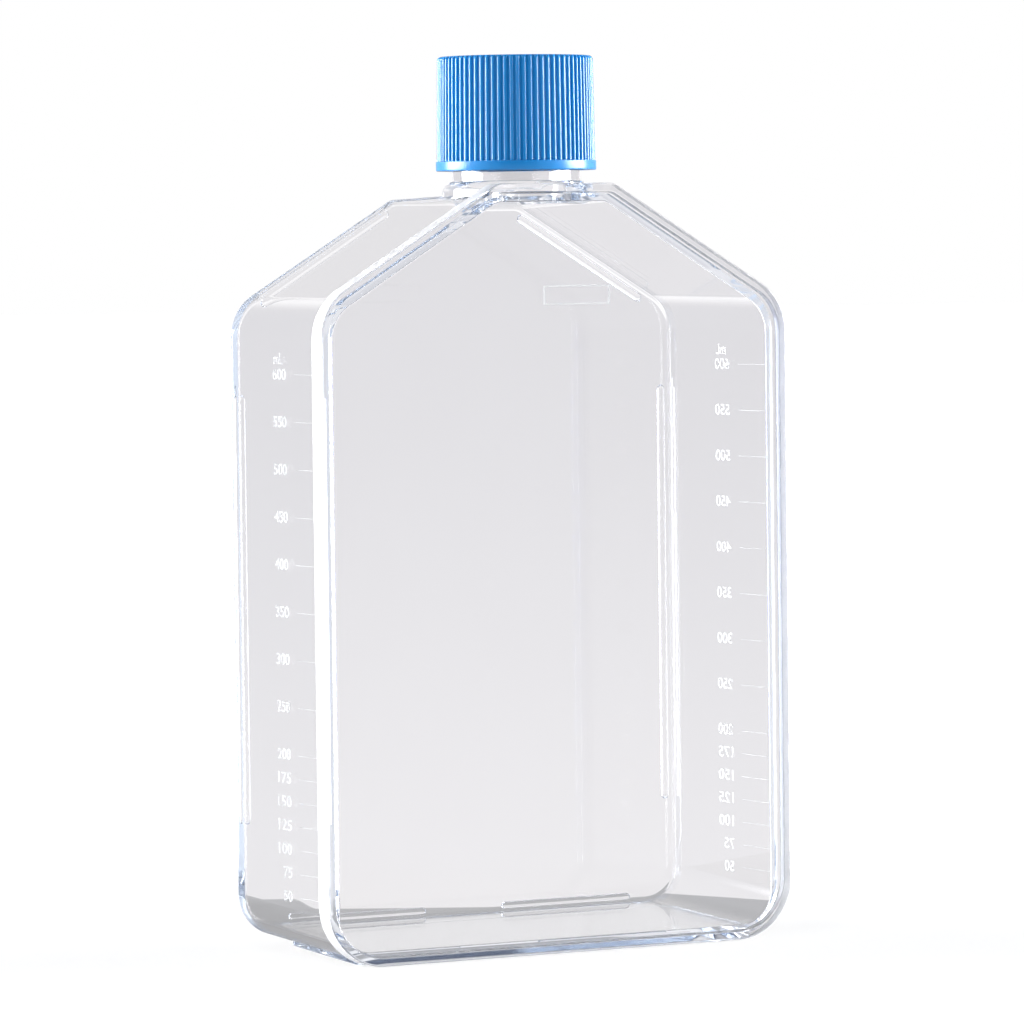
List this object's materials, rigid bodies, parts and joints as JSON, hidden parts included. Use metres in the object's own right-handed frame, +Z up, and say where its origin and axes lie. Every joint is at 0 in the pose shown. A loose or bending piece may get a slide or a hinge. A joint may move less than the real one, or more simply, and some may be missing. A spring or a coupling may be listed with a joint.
{
  "type": "cell culture flask",
  "caption": "Rectangular clear flask with sloped shoulders, a flanged front plate, graduated side walls, and a round neck closed by a ribbed, vented screw cap.",
  "frame": {"origin": "middle of the footprint's bounding box, at the base of the flange that the flask stands on", "axes": "+Z up along the neck, out of the mouth; -Y out of the front plate; +X to the right seen from the front plate"},
  "size_m": [0.12, 0.049, 0.2016],
  "materials": {
    "clear_plastic": "clear, colourless and glossy, with plain white graduations on the side walls",
    "blue_plastic": "satin blue, moulded ribs",
    "white_plastic": "natural white, matt",
    "membrane": "white porous membrane"
  },
  "bodies": {
    "flask": {"flask_body": "clear_plastic", "front_plate": "clear_plastic"},
    "vent_insert": {"seal_ring": "white_plastic", "vent_membrane": "membrane"},
    "cap": {"cap_shell": "blue_plastic"}
  },
  "joints": [
    {"name": "cap_rise", "type": "slide", "parent": "flask", "child": "vent_insert", "axis": [0, 0, 1], "range_m": [0, 0.024]},
    {"name": "cap_turn", "type": "hinge", "parent": "vent_insert", "child": "cap", "pos_m": [0, -0.00605, 0.19], "axis": [0, 0, 1], "range_deg": [0, 1080]}
  ],
  "couplings": [
    {"joint": "cap_rise", "follows": "cap_turn", "m_per_rad": 0.0012732}
  ]
}
